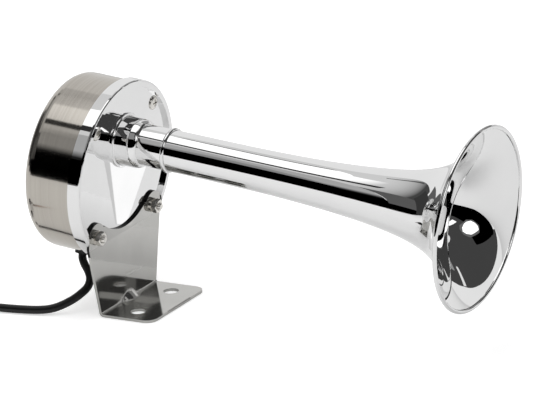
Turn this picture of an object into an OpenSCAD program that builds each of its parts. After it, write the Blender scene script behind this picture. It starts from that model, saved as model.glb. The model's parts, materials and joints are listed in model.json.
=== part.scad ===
// Compact electric trumpet horn for a boat: a round drum with a diaphragm, magnet and contact
// breaker inside, an off-centre trumpet on its front, and a bent sheet bracket to stand on.
// The origin is midway between the two foot holes, on the underside of the foot. +X is forward.

/* [Drum] */
// Outer radius of the polished band
drum_r = 49.5; // [47:0.5:56]
// Width of the band, front to back
band_w = 7.4; // [7.2:0.1:9]
// Wall of the band
band_t = 1.5; // [1:0.1:1.9]
// Width of the raised lip round the front face
lip_w = 3.6; // [2.5:0.1:4.5]
// Rounding of the lip's outer edge
lip_round = 1.2; // [0.6:0.1:1.6]
// Depth of the front face below the lip
recess = 2; // [1.6:0.1:2.6]
// Sheet of the front face
face_t = 1.2; // [0.8:0.1:1.4]
// Gap left between the lip and the bracket that passes through it
lip_gap = 0.6; // [0.3:0.1:1.2]
// Play between the rear cover and the band round it
cover_play = 0.1; // [0.05:0.05:0.3]
// Wall of the rear cover
cover_t = 1; // [0.8:0.1:1.2]
// Rounding of the rear cover's back edge
cover_round = 7; // [4:0.5:8]

/* [Diaphragm] */
// Thickness of the gasket in front of the diaphragm
front_gasket_t = 1.2; // [1.1:0.1:1.6]
// Thickness of the diaphragm
diaphragm_t = 0.4; // [0.3:0.05:0.5]
// Thickness of the gasket behind the diaphragm
rear_gasket_t = 0.8; // [0.5:0.1:1]

/* [Housing bolts] */
// Radius of each bolt
bolt_r = 2; // [1.5:0.1:2.2]
// Play of a bolt in its holes
bolt_play = 0.15; // [0.1:0.05:0.3]
// Radius of a bolt's head
bolt_head_r = 3.8; // [3.2:0.1:4.2]
// Height of a bolt's head
bolt_head_h = 2.6; // [1.8:0.1:3]
// Width across the flats of a nut
nut_af = 7; // [6:0.1:7.5]
// Height of a nut
nut_h = 3.2; // [2.2:0.1:3.6]
// Outer radius of a washer
washer_r = 4.1; // [3.8:0.1:4.3]
// Gap between the washers and the lip round them
washer_gap = 0.1; // [0.05:0.05:0.3]
// Thickness of a washer
washer_t = 0.8; // [0.5:0.1:1]
// How far a bolt stands out of its nut
bolt_end = 1.4; // [0.5:0.1:2.5]
// Radius of the low heads of the upper two bolts
low_head_r = 4; // [3.5:0.1:4.1]
// Height of those low heads
low_head_h = 1.5; // [1.2:0.1:1.6]

/* [Bracket] */
// Sheet of the bracket
sheet_t = 1.5; // [1.2:0.1:2.4]
// Angle between the trumpet and the foot, nose down
droop = 5.5; // [3:0.5:7]
// Height of the bend below the ears, above the foot's underside
upright_h = 39.7; // [34:0.5:46]
// Distance of that bend below the ear bolts
ear_drop = 5.6; // [5.2:0.1:7]
// Radius of each rounded ear
ear_r = 8; // [6.5:0.1:8.4]
// Radius of the cut-out between the ears
cutout_r = 35.3; // [33:0.1:36]
// Height of the cut-out's centre above the drum's centre
cutout_rise = 3; // [1:0.1:4]
// Width of the foot
foot_w = 58; // [52:0.5:64]
// Width of the upright at the bend below the ears
upright_w = 74; // [72:0.5:78]
// Distance from the upright's front to the foot holes
hole_setback = 16; // [13:0.5:20]
// Distance from the foot holes to the foot's front edge
foot_front = 15.5; // [10:0.5:22]
// Rounding of the foot's front corners
foot_round = 6; // [3:0.5:8]
// Distance between the two foot holes
hole_spacing = 35; // [28:0.5:38]
// Radius of each foot hole
hole_r = 4.2; // [3:0.1:4.5]
// Inner radius of the foot's bend
bend_r = 1; // [0.8:0.1:2]
// Radius of the pressed rib that stiffens the foot's bend
rib_r = 12; // [10:0.1:14]
// Height of the rib over the bend's inner corner
rib_h = 3; // [2.7:0.1:3.4]

/* [Trumpet] */
// Height of the trumpet's axis above the drum's centre
trumpet_rise = 17; // [15:0.5:19]
// Radius of the trumpet's mouth
mouth_r = 50; // [40:0.5:60]
// Distance from the drum's lip to the mouth
mouth_x = 211.5; // [180:0.5:240]
// Outer radius of the straight tube
tube_r = 11.3; // [10.8:0.1:12.2]
// Wall of the trumpet
trumpet_t = 0.9; // [0.7:0.1:1.2]
// Share of the flare that opens slowly along the trumpet
slow_share = 0.4; // [0.3:0.05:0.5]
// Power of the slow part of the flare
slow_power = 3.4; // [2.5:0.1:4.5]
// Power of the quick part of the flare near the mouth
quick_power = 15.4; // [10:0.2:20]
// Radius of the rolled edge at the mouth
rim_r = 1.2; // [0.8:0.1:1.6]
// Distance from the drum's lip to the joint of neck and trumpet
joint_x = 27.6; // [24:0.2:34]
// Radius of the half-round ring over that joint
joint_ring_r = 1.1; // [0.7:0.1:1.5]
// Radius of the neck's boss on the drum
boss_r = 13.5; // [12.5:0.1:14.5]
// Distance from the drum's lip to the boss's front edge
boss_x = 6.2; // [4:0.2:8]
// Distance from the drum's lip to the end of the neck's shoulder
shoulder_x = 11.7; // [10:0.1:14]
// Radius of the neck's foot where it meets the drum
foot_flange_r = 15; // [14.8:0.1:16]
// Thickness of that foot
foot_flange_t = 1; // [0.6:0.1:1.6]
// Radius of the bore through the neck
neck_bore_r = 8; // [7:0.1:8.4]
// Radius of the neck where it passes through the drum's face
neck_root_r = 9; // [8.7:0.1:9.4]
// How far the trumpet slides over the neck
socket_l = 10; // [6:0.5:14]
// Play between pieces that slide together
slip = 0.05; // [0.03:0.01:0.08]

/* [Magnet] */
// Gap between the bowl that holds the magnet and the bolt heads round it
head_gap = 1.7; // [1.5:0.1:2.5]
// Sheet of the bowl
bowl_t = 1.2; // [0.8:0.1:1.4]
// Depth of the bowl behind its flange
bowl_depth = 23.2; // [21.5:0.1:26]
// Distance from the push pin's axis to the armature's edge
pin_edge = 1.8; // [1.5:0.1:2.4]
// Thickness of the armature
armature_t = 2.8; // [2:0.1:3]
// Radius of the armature's boss under the diaphragm
armature_boss_r = 5; // [4:0.1:6]
// Height of that boss
armature_boss_h = 0.8; // [0.6:0.1:1]
// Gap between the armature and the pole at rest
air_gap = 0.8; // [0.75:0.05:1]
// Radius of the rivet's shank through the diaphragm
rivet_r = 1.5; // [1:0.1:2]
// Radius of the rivet's head
rivet_head_r = 4; // [3:0.1:4.5]
// Height of the rivet's head
rivet_head_h = 0.6; // [0.4:0.05:0.7]
// Radius of the pole core
core_r = 6; // [5:0.1:6.5]
// Radius of the core's stud
stud_r = 4; // [3.2:0.1:4.4]
// Width across the flats of the nut on the core's stud
core_nut_af = 13; // [11:0.1:14]
// Height of the nut on the core's stud
core_nut_h = 6.4; // [5.5:0.1:7]
// Sheet of the yoke
yoke_t = 2.5; // [2:0.1:2.8]
// Width of the yoke
yoke_w = 14; // [10:0.5:16]
// How far the armature's edge passes the inside of the yoke's arms
yoke_lap = 3.3; // [3:0.1:4]
// Gap between the bobbin and the yoke's arms
bobbin_gap = 0.7; // [0.4:0.1:1.2]
// Wall of the bobbin
bobbin_t = 1; // [0.8:0.1:1.2]
// Gap between the winding and the bobbin's edge
winding_inset = 0.6; // [0.3:0.1:1.2]

/* [Contact breaker] */
// Gap between the insulating block and the bowl's wall
block_gap = 1.5; // [1.2:0.1:2]
// Length of the block along the blades
block_l = 6; // [5.6:0.1:6.2]
// Width of the block
block_w = 10; // [9:0.1:11]
// Depth of the moving blade's front behind the lip
blade_depth = 14.8; // [14:0.1:16]
// Thickness of the moving blade
blade_t = 0.4; // [0.3:0.05:0.5]
// Width of the blades
blade_w = 8; // [7.5:0.1:8.6]
// How far the moving blade passes the push pin's axis
blade_overhang = 1.6; // [1.3:0.1:2]
// Thickness of the insulator between the blades
spacer_t = 2.6; // [2.2:0.1:3]
// Thickness of the fixed arm
arm_t = 0.8; // [0.6:0.1:1]
// How far the fixed arm passes the contact points' axis
arm_overhang = 2.2; // [1.8:0.1:2.5]
// Distance from the tuning screw to the contact points
point_inset = 3.8; // [3.6:0.1:4.2]
// Radius of the contact points
point_r = 1.5; // [1:0.1:1.7]
// Distance from the contact points to the push pin
pin_inset = 5.6; // [5:0.1:6]
// Radius of the push pin
pin_r = 1.2; // [0.9:0.1:1.3]
// Gap between the push pin and the moving blade
pin_gap = 0.1; // [0.05:0.05:0.2]
// Distance from the insulating block to the tuning screw
tuner_inset = 2.9; // [2.7:0.1:3.2]
// Radius of the tuning screw
tuner_r = 1.8; // [1.5:0.1:2]
// Play of the tuning screw in the bowl
tuner_play = 0.05; // [0.03:0.01:0.08]
// Radial gap round the tuning screw in the blade
tuner_gap = 0.6; // [0.4:0.1:0.8]
// Width across the flats of the tuning screw's lock nut
tuner_nut_af = 7; // [6:0.1:8]
// Height of that lock nut
tuner_nut_h = 2.2; // [1.8:0.1:3]
// How far the tuning screw stands out of its lock nut
tuner_end = 2; // [1.2:0.1:3]
// Radius of the two screws through the blades
clamp_r = 0.9; // [0.7:0.1:1]
// Distance between those two screws
clamp_spacing = 5; // [4.4:0.1:5.2]
// Thickness of the insulator on top of the fixed arm
cap_t = 0.8; // [0.6:0.1:1]

/* [Cable] */
// Diameter of the cable
cable_d = 4.5; // [3.5:0.1:5]
// Depth of the cable's outlet behind the lip
outlet_depth = 19; // [17:0.5:21]
// Angle of the outlet from straight down
outlet_angle = 15; // [10:0.5:20]
// Radius of the grommet's outer flange
grommet_r = 4.4; // [4:0.1:5.5]
// Radius of the hole in the rear cover for the grommet
outlet_r = 3.6; // [3:0.1:3.8]
// Thickness of the grommet's flanges
grommet_t = 1.6; // [1.2:0.1:2]
// Radius of the insulated wires
wire_r = 0.9; // [0.6:0.1:1]
// Length of the two wires at the cable's far end
lead_l = 26; // [15:1:40]
// Length of bare metal at the end of each wire
bare_l = 6; // [4:1:8]
// Width of the tie round the coil
tie_w = 2.5; // [2:0.1:3.5]
// Thickness of the tie
tie_t = 0.4; // [0.3:0.05:0.4]

/* [Hidden] */
$fn = 96;
// Small overlap that keeps cuts and joins clean
eps = 0.01;

// Depths behind the lip, from the front of the drum to its back
face_back = recess + face_t;
diaphragm_front = face_back + front_gasket_t;
diaphragm_back = diaphragm_front + diaphragm_t;
flange_front = diaphragm_back + rear_gasket_t;
flange_back = flange_front + bowl_t;
armature_front = diaphragm_back + armature_boss_h;
armature_back = armature_front + armature_t;
pole_front = armature_back + air_gap;
bowl_back = flange_back + bowl_depth;
bowl_floor = bowl_back - bowl_t;
yoke_front = bowl_floor - yoke_t;
cover_inside = bowl_back + core_nut_h;
cover_back = cover_inside + cover_t;

// Radii of the drum's nested pieces
band_in = drum_r - band_t;
cover_r = band_in - cover_play;
flange_r = band_in - 3 * cover_play;
bolt_hole_r = bolt_r + bolt_play;
lip_in = drum_r - lip_w;
bolt_circle_r = lip_in - washer_gap - washer_r;
bowl_r = bolt_circle_r - bolt_head_r - head_gap - bowl_t;
gasket_in = bowl_r + 1;

// Places of the bolts round the drum
bolt_angle = 45;
bolt_step = 90;
upper_bolts = [bolt_angle, bolt_angle + bolt_step];
lower_bolts = [bolt_angle + 2 * bolt_step, bolt_angle + 3 * bolt_step];
bolt_side = bolt_circle_r * sin(bolt_angle);

// Distances from the drum's axis, worked inwards from the bowl's wall
block_end_y = bowl_r - block_gap;
block_y = block_end_y - block_l;
clamp_y = block_y + block_l / 2;
tuner_y = block_y - tuner_inset;
point_y = tuner_y - point_inset;
arm_tip_y = point_y - arm_overhang;
pin_y = point_y - pin_inset;
blade_tip_y = pin_y - blade_overhang;
armature_r = pin_y + pin_edge;
yoke_in = armature_r - yoke_lap;
bobbin_r = yoke_in - bobbin_gap;

// The ear bend, in the horn's frame and in the foot's frame, sets where the horn sits
ear_front_x = sheet_t - recess;
ear_bend_z = -trumpet_rise - bolt_side - ear_drop;
horn_x = -hole_setback - ear_front_x * cos(droop) - ear_bend_z * sin(droop);
horn_z = upright_h + ear_front_x * sin(droop) - ear_bend_z * cos(droop);

// The folded sheet before its outline is cut
bracket_top = horn_z - trumpet_rise;
bracket_side = bolt_side + ear_r + 1;
ear_taper = 0.3;
rib_reach = 20;
rib_out = rib_h - rib_r;

// Trumpet profile
flare_steps = 36;
function flare(t) = slow_share * pow(t, slow_power) + (1 - slow_share) * pow(t, quick_power);
function trumpet_r(x) =
    tube_r + (mouth_r - rim_r - tube_r) * flare((x - joint_x) / (mouth_x - rim_r - joint_x));
// Sections crowd towards the mouth, where the flare is quickest
function section_x(i) = joint_x + (mouth_x - rim_r - joint_x) * (1 - pow(1 - i / flare_steps, 1.8));

// Contact breaker
arm_front = blade_depth - spacer_t - arm_t;
point_h = spacer_t / 2;
clamp_head_h = 1;
clamp_head_r = 1.6;
tuner_tip = arm_front + arm_t + tuner_play;

// Slots of screws, and the crossed slots of the upper bolts
slot_w = 0.8;
slot_depth = 0.8;
cross_l = 4;

// Two tags on the bobbin's rear flange, where the coil's ends are soldered
tag_w = 3;
tag_l = 4;
tag_t = 0.5;
tag_angles = [205, 335];

// The neck's root is swaged over the inside of the drum's face
swage_t = 0.5;
swage_w = 0.9;
foot_slope = 0.6;

// Cable route: out of the grommet, down to the floor and off to the coil
cable_r = cable_d / 2;
cable_start_r = cover_r - cover_t;
wire_gap = 0.2;
arm_wire_y = (point_y + tuner_y) / 2;
bare_r = 0.6 * wire_r;
cable_sides = 10;
wire_sides = 8;
coil_sides = 6;
coil_rings = 24;
coil_centre = [-130, -67];
coil_out_r = 25;
coil_pitch = 5.2;
coil_climb = 5;
coil_turns = 2.25;
coil_in_turns = 1.25;
floor_gap = 0.8;
tie_gap = 0.3;
tie_turn = 2 / coil_rings;
function outlet_world(r) =
    let (x = -outlet_depth, y = -r * sin(outlet_angle), z = -r * cos(outlet_angle) - trumpet_rise)
    [horn_x + x * cos(droop) + z * sin(droop), y, horn_z - x * sin(droop) + z * cos(droop)];
route = [
    outlet_world(cable_start_r), outlet_world(cable_start_r + cable_d),
    [-34.3, -14.3, 23.5], [-31.7, -15, 19.8], [-29.9, -16.5, 16], [-29.8, -19.5, 12.4],
    [-32.2, -24, 9.2], [-36, -29, 6.4], [-42.3, -34, 3.7], [-49.9, -37.2, 2.6], [-62, -39.7, 2.3],
    [-76, -41.4, 2.3], [-92, -42, 2.6], [-108, -42, 3.05], [-125.5, -42, 3.05]
];
tail = [
    [-153.7, -71.5, 8.05], [-153.7, -76, 8.05], [-152.6, -83.5, 6.1], [-148.8, -90.5, 3.6],
    [-142.5, -96.3, 2.3], [-135, -99.4, 2.3], [-128, -100, 2.3], [-123.5, -100, 2.3]
];

// Places a part in the horn's frame: X along the trumpet, origin on its axis at the lip
module horn_frame() {
    translate([horn_x, 0, horn_z])
        rotate([0, droop, 0])
            children();
}

// Places a part in the drum's frame: X along the drum's axis, origin at the lip
module drum_frame() {
    horn_frame()
        translate([0, 0, -trumpet_rise])
            children();
}

// A disc across the X axis, from one depth behind the lip to another
module disc(front, back, r) {
    translate([-back, 0, 0])
        rotate([0, 90, 0])
            cylinder(h = back - front, r = r);
}

// A disc with a hole through it
module ring(front, back, r, hole) {
    difference() {
        disc(front, back, r);
        disc(front - 1, back + 1, hole);
    }
}

// A hexagonal nut round the X axis
module hex_nut(front, back, af, hole) {
    difference() {
        translate([-back, 0, 0])
            rotate([0, 90, 0])
                cylinder(h = back - front, r = af / 2 / cos(30), $fn = 6);
        disc(front - 1, back + 1, hole);
    }
}

// Turns a profile drawn as [radius, x] round the X axis
module turned() {
    rotate([0, 90, 0])
        rotate_extrude()
            children();
}

// Repeats a part at the given angles round the bolt circle
module at_bolts(angles) {
    for (a = angles)
        translate([0, bolt_circle_r * cos(a), bolt_circle_r * sin(a)])
            children();
}

// Moves a part across the drum, to a distance from its axis
module across(y) {
    translate([0, y, 0])
        children();
}

// A flat strip of the contact breaker
module strip(front, back, y1, y2, w) {
    translate([-back, y1, -w / 2])
        cube([back - front, y2 - y1, w]);
}

// Holes for the two screws through the contact breaker
module clamp_holes(r) {
    for (side = [-1, 1])
        translate([0, clamp_y, side * clamp_spacing / 2])
            disc(0, bowl_back, r);
}

// Tube swept along points, its rings square to the route
function unit(v) = v / norm(v);
function heading(p, i) = unit(p[min(i + 1, len(p) - 1)] - p[max(i - 1, 0)]);
function ring_points(p, i, r, sides, up) =
    let (t = heading(p, i), u = unit(cross(up, t)), v = cross(t, u))
    [for (k = [0:sides - 1]) p[i] + r * (cos(360 * k / sides) * u + sin(360 * k / sides) * v)];

module tube(points, r, sides, up) {
    n = len(points);
    rings = [for (i = [0:n - 1]) each ring_points(points, i, r, sides, up)];
    walls = [
        for (i = [0:n - 2])
            for (k = [0:sides - 1])
                let (a = i * sides + k, b = i * sides + (k + 1) % sides)
                each [[a, b + sides, b], [a, a + sides, b + sides]]
    ];
    start = [for (k = [1:sides - 2]) [0, k, k + 1]];
    end = [for (k = [1:sides - 2]) (n - 1) * sides * [1, 1, 1] + [0, k + 1, k]];
    polyhedron(points = rings, faces = concat(walls, start, end));
}

// Coil: in along the floor for one turn, up a layer in half a turn, then out on top
function coil_r(t) =
    coil_out_r - coil_pitch * (t < coil_in_turns ? t : 2 * coil_in_turns - t);
function coil_z(t) = cable_r + floor_gap + coil_climb * min(max(2 * (t - 1), 0), 1);
function coil_point(t) = [
    coil_centre.x + coil_r(t) * cos(90 + 360 * t),
    coil_centre.y + coil_r(t) * sin(90 + 360 * t),
    coil_z(t)
];
coil_steps = coil_turns * coil_rings;
coil_path = concat(
    [coil_point(0) + [cable_d, 0, 0]],
    [for (i = [0:coil_steps]) coil_point(i / coil_rings)],
    [coil_point(coil_turns) + [0, -cable_d, 0]]
);
coil_gap = min([
    for (i = [0:coil_steps])
        for (j = [i + coil_rings / 2:coil_steps])
            norm(coil_point(i / coil_rings) - coil_point(j / coil_rings))
]) - cable_d;
echo(least_gap_between_turns = coil_gap);

// Bracket

// The ears' outline, [y, z] in the horn's frame, open below their bend
module ear_outline() {
    ear_side = bolt_side + ear_r - ear_taper;
    ear_z = -trumpet_rise - bolt_side;
    difference() {
        union() {
            translate([-ear_side, ear_bend_z - 2])
                square([2 * ear_side, ear_z - ear_bend_z + 2]);
            translate([-bolt_side, ear_z - 1])
                square([2 * bolt_side, 1 + ear_r / 2]);
            translate([-bracket_side, ear_bend_z - 2 * upright_h])
                square([2 * bracket_side, 2 * upright_h - 1]);
            for (side = [-1, 1])
                translate([side * bolt_side, ear_z])
                    circle(r = ear_r);
        }
        translate([0, cutout_rise - trumpet_rise])
            circle(r = cutout_r);
    }
}

// The bracket's side view, [x, z]: everything in front of one face of the sheet, and a distance
// t off that face. The face runs from the foot's front edge back and up to the ears.
module in_front_of_sheet(t, front) {
    corner = [bend_r - hole_setback, bend_r + sheet_t];
    back = -hole_setback - t;
    lean = tan(droop);
    translate(corner)
        circle(r = bend_r + t);
    polygon([
        [corner.x, sheet_t - t], [front, sheet_t - t], [front, bracket_top],
        [-hole_setback - t / cos(droop) + (bracket_top - upright_h) * lean, bracket_top],
        [-hole_setback - t * cos(droop), upright_h + t * sin(droop)],
        [back, upright_h], [back, corner.y], corner
    ]);
}

module folded_sheet() {
    translate([0, bracket_side, 0])
        rotate([90, 0, 0])
            linear_extrude(2 * bracket_side)
                difference() {
                    in_front_of_sheet(sheet_t, foot_front);
                    in_front_of_sheet(0, foot_front + 1);
                }
}

// The bracket's front view below the ears, [y, z]: it widens upwards from the foot's bend
module upright_outline() {
    rise = (upright_h - sheet_t - bend_r) / (upright_w - foot_w) * 2;
    side = bracket_side + 1;
    wide_z = sheet_t + bend_r + (side - foot_w / 2) * rise;
    polygon([
        [-foot_w / 2, -1], [foot_w / 2, -1], [foot_w / 2, sheet_t + bend_r], [side, wide_z],
        [side, wide_z + bracket_top], [-side, wide_z + bracket_top],
        [-side, wide_z], [-foot_w / 2, sheet_t + bend_r]
    ]);
}

// A view from the front pushed through the whole bracket
module from_front() {
    reach = 2 * (hole_setback + foot_front);
    translate([-reach, 0, 0])
        rotate([90, 0, 90])
            linear_extrude(2 * reach)
                children();
}

module foot_corner(side) {
    translate([foot_front - foot_round, side * (foot_w / 2 - foot_round), -1])
        difference() {
            translate([0, side > 0 ? 0 : -foot_round - 1, 0])
                cube([foot_round + 1, foot_round + 1, sheet_t + 2]);
            translate([0, 0, -1])
                cylinder(h = sheet_t + 4, r = foot_round);
        }
}

// A round bar across the inside of the foot's bend, and the groove pressed in behind it
module rib_bar(r) {
    translate([-hole_setback, 0, sheet_t])
        rotate([0, 45, 0])
            translate([-rib_reach, 0, rib_out])
                rotate([0, 90, 0])
                    cylinder(h = 2 * rib_reach, r = r);
}

module rib_corner() {
    translate([-hole_setback - sheet_t / 2, -rib_r - 1, sheet_t / 2])
        cube([rib_reach, 2 * rib_r + 2, rib_reach]);
}

module rib_groove() {
    w = 2 * (rib_r - sheet_t);
    rib_bar(rib_r - sheet_t);
    translate([-hole_setback, 0, sheet_t])
        rotate([0, 45, 0])
            translate([-rib_reach, -w / 2, rib_out - rib_reach])
                cube([2 * rib_reach, w, rib_reach]);
}

module bracket() {
    color("darkgray")
        difference() {
            union() {
                intersection() {
                    folded_sheet();
                    from_front()
                        upright_outline();
                    horn_frame()
                        from_front()
                            ear_outline();
                }
                intersection() {
                    rib_bar(rib_r);
                    rib_corner();
                }
            }
            rib_groove();
            foot_corner(-1);
            foot_corner(1);
            for (side = [-1, 1])
                translate([0, side * hole_spacing / 2, -1])
                    cylinder(h = sheet_t + 2, r = hole_r);
            drum_frame()
                at_bolts(lower_bolts)
                    disc(-sheet_t, recess + 1, bolt_hole_r);
        }
}

// Drum shells

module lip_opening() {
    translate([-recess, 0, 0])
        rotate([90, 0, 90])
            linear_extrude(recess + 1)
                union() {
                    translate([-upright_w / 2 - lip_gap, -drum_r - 1])
                        square([upright_w + 2 * lip_gap, drum_r + 1 - bolt_side]);
                    for (side = [-1, 1])
                        translate([side * bolt_side, -bolt_side])
                            circle(r = ear_r + lip_gap);
                }
}

module front_housing() {
    color("gainsboro")
        drum_frame()
            difference() {
                turned()
                    polygon([
                        [0, -face_back], [band_in, -face_back], [band_in, -band_w], [drum_r, -band_w],
                        for (a = [0:15:90])
                            [drum_r - lip_round + lip_round * cos(a), -lip_round + lip_round * sin(a)],
                        [lip_in, 0], [lip_in, -recess], [0, -recess]
                    ]);
                lip_opening();
                at_bolts(concat(upper_bolts, lower_bolts))
                    disc(0, band_w, bolt_hole_r);
                translate([0, 0, trumpet_rise])
                    disc(0, band_w, neck_root_r + slip);
            }
}

module cover_outline(r, back, corner) {
    polygon([
        [0, -back],
        for (a = [-90:10:0])
            [r - corner + corner * cos(a), -back + corner + corner * sin(a)],
        [r, -flange_back], [0, -flange_back]
    ]);
}

// Cuts along the cable outlet's axis, from one distance off the drum's axis to another
module outlet_bar(near, far, r) {
    translate([-outlet_depth, 0, 0])
        rotate([180 - outlet_angle, 0, 0])
            translate([0, 0, near])
                cylinder(h = far - near, r = r);
}

module rear_cover() {
    color("silver")
        drum_frame()
            difference() {
                turned()
                    difference() {
                        cover_outline(cover_r, cover_back, cover_round);
                        translate([-eps, eps])
                            cover_outline(cover_r - cover_t + eps, cover_inside + eps, cover_round - cover_t);
                    }
                disc(cover_inside - 1, cover_back + 1, bolt_hole_r);
                across(tuner_y)
                    disc(cover_inside - 1, cover_back + 1, tuner_r + tuner_play);
                outlet_bar(cover_r - 2 * cover_t - 2, cover_r + 1, outlet_r);
            }
}

module gasket(front, back) {
    difference() {
        ring(front, back, flange_r, gasket_in);
        at_bolts(concat(upper_bolts, lower_bolts))
            disc(front - 1, back + 1, bolt_hole_r);
    }
}

module front_gasket() {
    color("black")
        drum_frame()
            gasket(face_back, diaphragm_front);
}

module rear_gasket() {
    color("black")
        drum_frame()
            gasket(diaphragm_back, flange_front);
}

module diaphragm() {
    color("lightsteelblue")
        drum_frame()
            difference() {
                disc(diaphragm_front, diaphragm_back, flange_r);
                disc(0, band_w, rivet_r + slip);
                at_bolts(concat(upper_bolts, lower_bolts))
                    disc(0, band_w, bolt_hole_r);
            }
}

// Magnet

module magnet_bowl() {
    color("dimgray")
        drum_frame()
            difference() {
                union() {
                    disc(flange_front, flange_back, flange_r);
                    disc(flange_front, bowl_back, bowl_r + bowl_t);
                }
                disc(0, bowl_floor, bowl_r);
                disc(0, bowl_back + 1, stud_r + slip);
                at_bolts(concat(upper_bolts, lower_bolts))
                    disc(0, bowl_floor, bolt_hole_r);
                across(tuner_y)
                    disc(0, bowl_back + 1, tuner_r + tuner_play);
                outlet_bar(bowl_r - 2, bowl_r + bowl_t + 1, outlet_r);
            }
}

module magnet_yoke() {
    color("slategray")
        drum_frame()
            difference() {
                translate([-bowl_floor, -yoke_w / 2, -yoke_in - yoke_t])
                    cube([bowl_floor - pole_front, yoke_w, 2 * (yoke_in + yoke_t)]);
                translate([-yoke_front, -yoke_w / 2 - 1, -yoke_in])
                    cube([bowl_floor, yoke_w + 2, 2 * yoke_in]);
                disc(0, bowl_back, stud_r + slip);
            }
}

module pole_core() {
    color("lightslategray")
        drum_frame()
            difference() {
                union() {
                    disc(pole_front, yoke_front, core_r);
                    disc(pole_front, cover_inside, stud_r);
                }
                disc(bowl_floor, cover_inside + 1, bolt_r + slip);
            }
}

module core_nut() {
    color("silver")
        drum_frame()
            hex_nut(bowl_back, cover_inside, core_nut_af, stud_r + slip);
}

module coil_bobbin() {
    front = pole_front + bobbin_t;
    color("ivory")
        drum_frame()
            difference() {
                disc(front, yoke_front, bobbin_r);
                disc(0, bowl_back, core_r + slip);
                ring(front + bobbin_t, yoke_front - bobbin_t, bobbin_r + 1, core_r + bobbin_t);
            }
}

module coil_winding() {
    front = pole_front + 2 * bobbin_t;
    color("peru")
        drum_frame()
            ring(front + slip, yoke_front - bobbin_t - slip,
                bobbin_r - winding_inset, core_r + bobbin_t + slip);
}

module solder_tags() {
    color("gold")
        drum_frame()
            for (a = tag_angles)
                rotate([a, 0, 0])
                    translate([-yoke_front + bobbin_t / 2 - tag_t / 2, bobbin_r, -tag_w / 2])
                        cube([tag_t, tag_l, tag_w]);
}

module armature() {
    color("slategray")
        drum_frame()
            difference() {
                union() {
                    disc(diaphragm_back, armature_front, armature_boss_r);
                    disc(armature_front, armature_back, armature_r);
                }
                disc(0, bowl_back, rivet_r + slip);
                across(pin_y)
                    disc(armature_front + armature_t / 2, bowl_back, pin_r + slip);
            }
}

module armature_rivet() {
    color("silver")
        drum_frame() {
            disc(diaphragm_front - rivet_head_h, diaphragm_front, rivet_head_r);
            disc(diaphragm_front - rivet_head_h, armature_back, rivet_r);
        }
}

module push_pin() {
    color("saddlebrown")
        drum_frame()
            across(pin_y)
                disc(armature_front + armature_t / 2, blade_depth - pin_gap, pin_r);
}

// Contact breaker

module contact_block() {
    color("saddlebrown")
        drum_frame()
            difference() {
                strip(blade_depth + blade_t, bowl_floor, block_y, block_end_y, block_w);
                clamp_holes(clamp_r + slip);
            }
}

module contact_blade() {
    color("goldenrod")
        drum_frame()
            difference() {
                strip(blade_depth, blade_depth + blade_t, blade_tip_y, block_end_y, blade_w);
                across(tuner_y)
                    disc(0, bowl_back, tuner_r + tuner_gap);
                clamp_holes(clamp_r + slip);
            }
}

module blade_spacer() {
    color("sienna")
        drum_frame()
            difference() {
                strip(blade_depth - spacer_t, blade_depth, block_y, block_end_y, block_w);
                clamp_holes(clamp_r + slip);
            }
}

module fixed_arm() {
    color("goldenrod")
        drum_frame()
            difference() {
                strip(arm_front, arm_front + arm_t, arm_tip_y, block_end_y, blade_w);
                clamp_holes(clamp_r + slip);
            }
}

module clamp_cap() {
    color("sienna")
        drum_frame()
            difference() {
                strip(arm_front - cap_t, arm_front, block_y, block_end_y, block_w);
                clamp_holes(clamp_r + slip);
            }
}

module clamp_screws() {
    head_back = arm_front - cap_t;
    color("silver")
        drum_frame()
            for (side = [-1, 1])
                translate([0, clamp_y, side * clamp_spacing / 2]) {
                    disc(head_back - clamp_head_h, head_back, clamp_head_r);
                    disc(head_back - clamp_head_h, bowl_floor, clamp_r);
                }
}

module fixed_point() {
    color("lightgray")
        drum_frame()
            across(point_y)
                disc(arm_front + arm_t, arm_front + arm_t + point_h, point_r);
}

module moving_point() {
    color("lightgray")
        drum_frame()
            across(point_y)
                disc(blade_depth - point_h, blade_depth, point_r);
}

module tuning_screw() {
    end = cover_back + tuner_nut_h + tuner_end;
    color("gold")
        drum_frame()
            across(tuner_y)
                difference() {
                    disc(tuner_tip, end, tuner_r);
                    translate([-end - 1, -tuner_r - 1, -slot_w / 2])
                        cube([slot_depth + 1, 2 * tuner_r + 2, slot_w]);
                }
}

module tuning_locknut() {
    color("silver")
        drum_frame()
            across(tuner_y)
                hex_nut(cover_back, cover_back + tuner_nut_h, tuner_nut_af, tuner_r + tuner_play);
}

// Fasteners

module cover_screw() {
    end = cover_back + bolt_head_h;
    color("silver")
        drum_frame()
            difference() {
                union() {
                    disc(cover_back, end, bolt_head_r);
                    disc(bowl_floor + slip, end, bolt_r);
                }
                translate([-end - 1, -bolt_head_r - 1, -slot_w / 2])
                    cube([slot_depth + 1, 2 * bolt_head_r + 2, slot_w]);
            }
}

// The upper two bolts have low heads on the drum's face and nuts behind the bowl's flange
module housing_bolts() {
    end = flange_back + washer_t + nut_h + bolt_end;
    color("silver")
        drum_frame()
            at_bolts(upper_bolts)
                difference() {
                    union() {
                        turned()
                            polygon([
                                [0, -recess],
                                for (a = [0:15:90])
                                    [low_head_r * cos(a), -recess + low_head_h * sin(a)]
                            ]);
                        disc(recess - low_head_h / 2, end, bolt_r);
                    }
                    for (a = [0, 90])
                        rotate([a, 0, 0])
                            translate([-recess + low_head_h - slot_depth, -cross_l / 2, -slot_w / 2])
                                cube([slot_depth + 1, cross_l, slot_w]);
                }
}

// The lower two bolts come from behind the bowl's flange and pass through the bracket's ears
module bracket_bolts() {
    front = washer_t + nut_h + bolt_end - recess + sheet_t;
    color("silver")
        drum_frame()
            at_bolts(lower_bolts) {
                disc(flange_back, flange_back + bolt_head_h, bolt_head_r);
                disc(-front, flange_back + bolt_head_h, bolt_r);
            }
}

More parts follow.
